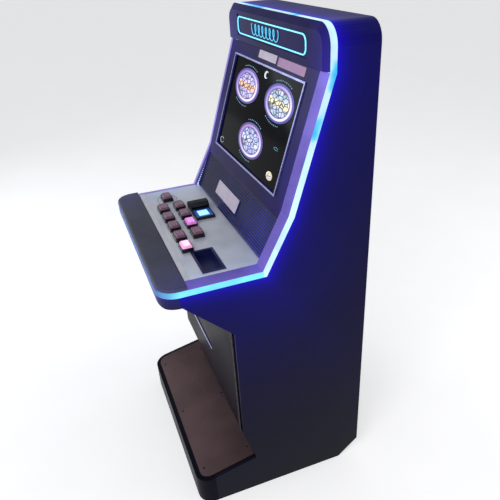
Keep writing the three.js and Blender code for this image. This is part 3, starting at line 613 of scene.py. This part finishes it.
def add_ticks(name, cx, down, half_w, half_h, spans, look):
    """Short raised dashes in arcs around a badge."""
    bm = bmesh.new()
    for start, end, count in spans:
        for k in range(count):
            a = math.radians(start + (end - start) * k / (count - 1))
            x, y = cx + half_w * math.cos(a), -down + half_h * math.sin(a)
            tall = 0.003 if k % 3 else 0.0042
            bevelled(bm, (x - 0.0028, y - tall / 2, GLASS_FRONT + 0.0002),
                     (x + 0.0028, y + tall / 2, GLASS_FRONT + 0.0009), 0.0002, segments=1)
    place(name, bm, look, slot="screen_glass", matrix=SCREEN)


def add_crescent():
    bm = bmesh.new()
    rim, steps = [], 20
    for k in range(steps + 1):
        a = TAU * (0.12 + 0.76 * k / steps)
        rim.append((0.016 * math.cos(a), 0.012 * math.sin(a)))
    for k in range(1, steps):
        a = TAU * (0.88 - 0.76 * k / steps)
        rim.append((0.006 + 0.010 * math.cos(a), 0.0085 * math.sin(a)))
    heights = (GLASS_FRONT + 0.0002, GLASS_FRONT + 0.001)
    rings = [[Vector((0.008 + x, y - 0.029, z)) for x, y in rim] for z in heights]
    skin(bm, rings)
    place("icon_crescent", bm, ICON, slot="screen_glass", matrix=SCREEN)


def ring_icon(name, cx, down, half_w, half_h, look):
    points = []
    for k in range(30):
        a = TAU * (0.1 + 0.85 * k / 29)
        x, y = cx + half_w * math.cos(a), -down + half_h * math.sin(a)
        points.append(SCREEN @ Vector((x, y, GLASS_FRONT + 0.0008)))
    tube(name, points, 0.0007, look)


def add_label(name, low, high, matrix, look, lift=0.0004):
    """A blank sticker: a thin sheet with rounded corners and slightly lifted edges."""
    bm = bmesh.new()
    w, h = high[0] - low[0], high[1] - low[1]
    cx, cy = (low[0] + high[0]) / 2, (low[1] + high[1]) / 2
    outer = rounded_rect(w, h, 0.003, 4, cx, cy)
    inner = rounded_rect(w - 0.008, h - 0.008, 0.002, 4, cx, cy)
    skin(bm, [at_height(outer, lift), at_height(outer, lift + 0.0005), at_height(inner, lift + 0.0003)])
    place(name, bm, look, slot="tray_plastic", matrix=matrix)


add_sign()
for badge_name, cx, down, look in BADGES:
    badge(badge_name, cx, down, 0.112, 0.058, look)
    add_ticks(badge_name + "_ticks", cx, down, 0.122, 0.067, ((60, 115, 9), (235, 285, 9)), ARC)
badge("badge_coin", 0.217, 0.304, 0.024, 0.014, COIN)
add_crescent()
ring_icon("icon_ring", -0.254, 0.316, 0.018, 0.010, ICON)
ring_icon("icon_small", 0.216, 0.217, 0.016, 0.004, ARC)
add_label("label_top_pale", (-0.084, 0.013), (0.066, 0.038), SCREEN, PAPER)
add_label("label_top_pink", (0.080, 0.010), (0.278, 0.036), SCREEN, PINK_PAPER)
add_label("label_louvre", (-0.155, -0.103), (0.070, -0.052), LOUVRE_FACE, PAPER, 0.0012)


# ---- Push buttons ---------------------------------------------------------------------------
def add_buttons():
    lit = {"05": (CAP_PALE, LENS_PALE), "08": (CAP_PINK, LENS_PINK)}
    for number in range(1, 11):
        label = f"{number:02d}"
        low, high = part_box(f"button_cap_{label}")
        cx, cy = (low[0] + high[0]) / 2, (low[1] + high[1]) / 2
        w, d = high[0] - low[0], high[1] - low[1]
        side, lens = lit.get(label, (CAP, LENS_UNLIT))
        bm = bmesh.new()
        z = high[2]
        sections = [
            (0.0, low[2], 0), (0.0, z - 0.0062, 0), (0.0004, z - 0.0048, 0), (0.0022, z - 0.0014, 0),
            (0.0034, z - 0.0003, 0), (0.0048, z, 0), (0.0062, z - 0.0005, 0), (0.0070, z - 0.0011, 1),
            (0.0082, z - 0.0006, 1), (0.0105, z - 0.0004, 1),
        ]
        rings = [at_height(rounded_rect(w - 2 * s, d - 2 * s, max(0.005 - s * 0.3, 0.002), 5, cx, cy), h)
                 for s, h, _ in sections]
        skin(bm, rings)
        centre = Vector((cx, cy, z))
        for face in bm.faces:
            mid = face.calc_center_median()
            inside = abs(mid.x - centre.x) < w / 2 - 0.0065 and abs(mid.y - centre.y) < d / 2 - 0.0065
            face.material_index = 1 if inside and mid.z > z - 0.003 else 0
        place(f"cap_{label}", bm, [side, lens], f"button_{label}", "button_lens", (f"button_cap_{label}",))
        add_housing(label)


def add_housing(label):
    low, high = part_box(f"button_housing_{label}")
    cx, cy = (low[0] + high[0]) / 2, (low[1] + high[1]) / 2
    w, d = high[0] - low[0], high[1] - low[1]
    rim, seat = high[2], DECK_Z + 0.0003
    bm = bmesh.new()
    sections = [
        (0.008, 0.007, low[2]), (0.008, 0.007, seat), (0.0, 0.0, seat), (0.0, 0.0, seat + 0.0015),
        (0.0008, 0.0008, seat + 0.0022), (0.0014, 0.0014, rim - 0.001), (0.0022, 0.0022, rim),
        (0.0032, 0.0032, rim), (0.0037, 0.0037, rim - 0.0006), (0.0037, 0.0037, rim - 0.008),
    ]
    rings = [at_height(rounded_rect(w - 2 * sx, d - 2 * sy, 0.004, 5, cx, cy), h) for sx, sy, h in sections]
    skin(bm, rings)
    place(f"housing_{label}", bm, HOUSING, CABINET, "black_plastic", (f"button_housing_{label}",))


add_buttons()


# ---- Hand rest, print line and screws on the deck ----------------------------------------------
def deck_outline(inset, rear, corner=0.062, steps=10):
    side, front, r = HALF_WIDTH - inset, -0.35 + inset, max(corner - inset, 0.004)
    out = [(side, rear)]
    out += [(side, front + r)]
    for k in range(1, steps + 1):
        a = TAU / 4 * k / steps
        out.append((side - r + r * math.cos(a), front + r - r * math.sin(a)))
    for k in range(steps + 1):
        a = TAU / 4 * (1 + k / steps)
        out.append((-side + r + r * math.cos(a), front + r - r * math.sin(a)))
    out += [(-side, rear)]
    return out


def add_hand_rest():
    low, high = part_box("armrest_pad")
    rear = high[1]
    base = low[2]
    top = high[2]
    bm = bmesh.new()
    sections = [
        (0.0012, 0.0, base), (0.0010, 0.0, base + 0.0045), (0.0016, 0.0003, top - 0.0040),
        (0.0032, 0.0009, top - 0.0022), (0.0060, 0.0018, top - 0.0010), (0.0100, 0.0034, top - 0.0004),
        (0.0180, 0.0080, top), (0.0300, 0.0200, top + 0.0002),
    ]
    rings = [at_height(deck_outline(inset, rear - back), h) for inset, back, h in sections]
    skin(bm, rings)
    place("hand_rest", bm, PAD, CABINET, "armrest", ("armrest_pad",))


def add_print_line():
    """Thin dark teardrop printed round the single button."""
    low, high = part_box("button_housing_10")
    cx, cy = (low[0] + high[0]) / 2, (low[1] + high[1]) / 2
    points = []
    for k in range(40):
        a = TAU * (0.06 + 0.88 * k / 39)
        reach = 0.052 + 0.020 * max(0.0, math.cos(a)) ** 3
        x = cx + 0.004 + reach * math.cos(a) * 0.95
        points.append((x, cy + reach * math.sin(a) * 0.72, DECK_Z + 0.0002))
    tube("deck_print_line", points, 0.0006, MOULD)


def screw(bm, matrix, radius=0.0045, height=0.0012):
    """Pan head with a fine raised cross."""
    profile = [(radius, -0.0002), (radius, height * 0.35), (radius * 0.85, height * 0.8),
               (radius * 0.55, height), (radius * 0.3, height)]
    lathe(bm, profile, matrix, 18)
    for turn in (0, TAU / 4):
        arm = bmesh.new()
        bevelled(arm, (-radius * 0.5, -radius * 0.1, height * 0.98),
                 (radius * 0.5, radius * 0.1, height * 1.08), 0.00008, 1, 1)
        arm.transform(matrix @ Matrix.Rotation(turn, 4, "Z"))
        merge(bm, arm)


def merge(bm, other):
    """Copies another bmesh into this one."""
    made = {v: bm.verts.new(v.co) for v in other.verts}
    for face in other.faces:
        new = bm.faces.new([made[v] for v in face.verts])
        new.material_index = face.material_index
    other.free()


def add_step_screws():
    slope = math.atan(TREAD_SLOPE)
    bm = bmesh.new()
    low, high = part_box("foot_plate")
    for x in (-0.325, 0.010, 0.335):
        for y in (low.y + 0.018, high.y - 0.016):
            z = high.z - TREAD_SLOPE * (high.y - y)
            screw(bm, Matrix.Translation((x, y, z)) @ Matrix.Rotation(slope, 4, "X"), 0.0055, 0.0016)
    place("step_screws", bm, [DARK_STEEL, MOULD], slot="lock_steel")


add_hand_rest()
add_print_line()
add_step_screws()


# ---- Door furniture, cabinet hardware and the parts behind the doors --------------------------
def add_pull_strip():
    """Slim bright strip across the lower door."""
    low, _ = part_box("lower_door")
    bm = bmesh.new()
    bevelled(bm, (-0.206, low.y - 0.0042, 0.449), (0.056, low.y - 0.0002, 0.460), 0.0012)
    place("door_pull_strip", bm, FRAME, body="front_door", slot="silver_trim")


def add_hinge(node, name, look, count):
    """Hinge barrel of separate knuckles, with a fine groove between neighbours."""
    low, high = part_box(node)
    middle = (low + high) / 2
    radius = (high.x - low.x) / 2 - 0.0001
    pitch = (high.z - low.z) / count
    profile = []
    for k in range(count):
        foot = low.z + k * pitch
        profile += [(radius - 0.001, foot), (radius, foot + 0.001), (radius, foot + pitch - 0.001),
                    (radius - 0.001, foot + pitch - 0.0002)]
    bm = bmesh.new()
    lathe(bm, profile, Matrix.Translation((middle.x, middle.y, 0)), 20)
    place(name, bm, look, slot="lock_steel", replaces=(node,))


def add_inlet():
    """Three flat pins in the inlet's recess and a screw at each side."""
    low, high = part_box("power_inlet")
    middle = (low + high) / 2
    pins = bmesh.new()
    for dx, dz in ((-0.007, -0.003), (0.007, -0.003), (0, 0.003)):
        bevelled(pins, (middle.x + dx - 0.001, high.y - 0.0175, middle.z + dz - 0.002),
                 (middle.x + dx + 0.001, high.y - 0.004, middle.z + dz + 0.002), 0.0003)
    for side in (-1, 1):
        at = Matrix.Translation((middle.x + side * 0.017, high.y, middle.z))
        screw(pins, at @ Matrix.Rotation(-TAU / 4, 4, "X"), 0.0028, 0.001)
    place("inlet_pins", pins, STEEL, slot="lock_steel")


def add_board_parts():
    """Headers and capacitors on the game board's open face."""
    low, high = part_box("game_board")
    face = high.x - 0.0118
    bm = bmesh.new()
    for k in range(6):
        y = low.y + 0.035 + 0.042 * k
        bevelled(bm, (face - 0.009, y, low.z + 0.012), (face - 0.0001, y + 0.026, low.z + 0.022), 0.0005)
    for k in range(7):
        at = Matrix.Translation((face - 0.0001, low.y + 0.03 + 0.036 * k, high.z - 0.028))
        lathe(bm, [(0.005, 0), (0.005, 0.010), (0.0044, 0.011)],
              at @ Matrix.Rotation(-TAU / 4, 4, "Y"), 14, index=1)
    place("board_parts", bm, [MOULD, SHEET], slot="circuit_board")


def add_supply_parts():
    """Fan guard rings, lid screws and a terminal block on the power supply."""
    low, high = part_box("power_supply")
    middle = (low + high) / 2
    bm = bmesh.new()
    for ring in (0.010, 0.018, 0.026):
        profile = [(ring - 0.0012, 0.0001), (ring - 0.0012, 0.0014),
                   (ring + 0.0012, 0.0014), (ring + 0.0012, 0.0001)]
        lathe(bm, profile, Matrix.Translation((middle.x, middle.y, high.z)), 32)
    for sx in (-1, 1):
        for sy in (-1, 1):
            at = Matrix.Translation((middle.x + sx * 0.068, middle.y + sy * 0.045, high.z))
            screw(bm, at, 0.0032, 0.0014)
    for k in range(5):
        x = low.x + 0.05 + 0.014 * k
        bevelled(bm, (x, low.y - 0.010, low.z + 0.012),
                 (x + 0.011, low.y - 0.0002, low.z + 0.026), 0.0006, index=1)
    place("supply_parts", bm, [STEEL, MOULD], slot="sheet_steel")


def add_cash_handle():
    """Loop handle on the front of the cash box."""
    low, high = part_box("cash_box")
    middle = (low + high) / 2
    rise = 0.02
    points = []
    for k in range(13):
        a = TAU / 2 * k / 12
        x, y = middle.x - 0.045 * math.cos(a), low.y - 0.001 - rise * math.sin(a)
        points.append(Vector((x, y, middle.z + 0.03)))
    tube("cash_handle", points, 0.003, STEEL)


def add_bill_window():
    """Lit lens in the middle of the bill hood's dark tongue."""
    low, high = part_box("bill_tongue")
    middle = (low + high) / 2
    bm = bmesh.new()
    bevelled(bm, (middle.x - 0.022, middle.y - 0.019, high.z + 0.0001),
             (middle.x + 0.022, middle.y + 0.019, high.z + 0.0012), 0.0004)
    place("bill_window_lens", bm, WINDOW, slot="led_diffuser")


add_bill_window()
add_pull_strip()
add_hinge("lower_door_hinge", "front_hinge_barrel", DARK_STEEL, 9)
add_hinge("rear_door_hinge", "rear_hinge_barrel", STEEL, 12)
add_inlet()
add_board_parts()
add_supply_parts()
add_cash_handle()


# ---- Finish -----------------------------------------------------------------------------------
def floor():
    bm = bmesh.new()
    bmesh.ops.create_grid(bm, x_segments=8, y_segments=8, size=40)
    data = bpy.data.meshes.new("floor")
    bm.to_mesh(data)
    bm.free()
    look = finish("floor_pale", ((0.86, 0.86, 0.87), (0.90, 0.90, 0.91)), 3, (0.6, 0.75), 0.03, 60)
    look.set("Emission_Color", (1.0, 1.0, 1.0))
    look.set("Emission_Strength", 0.42)
    data.materials.append(look.material)
    obj = bpy.data.objects.new("floor", data)
    bpy.context.scene.collection.objects.link(obj)


floor()
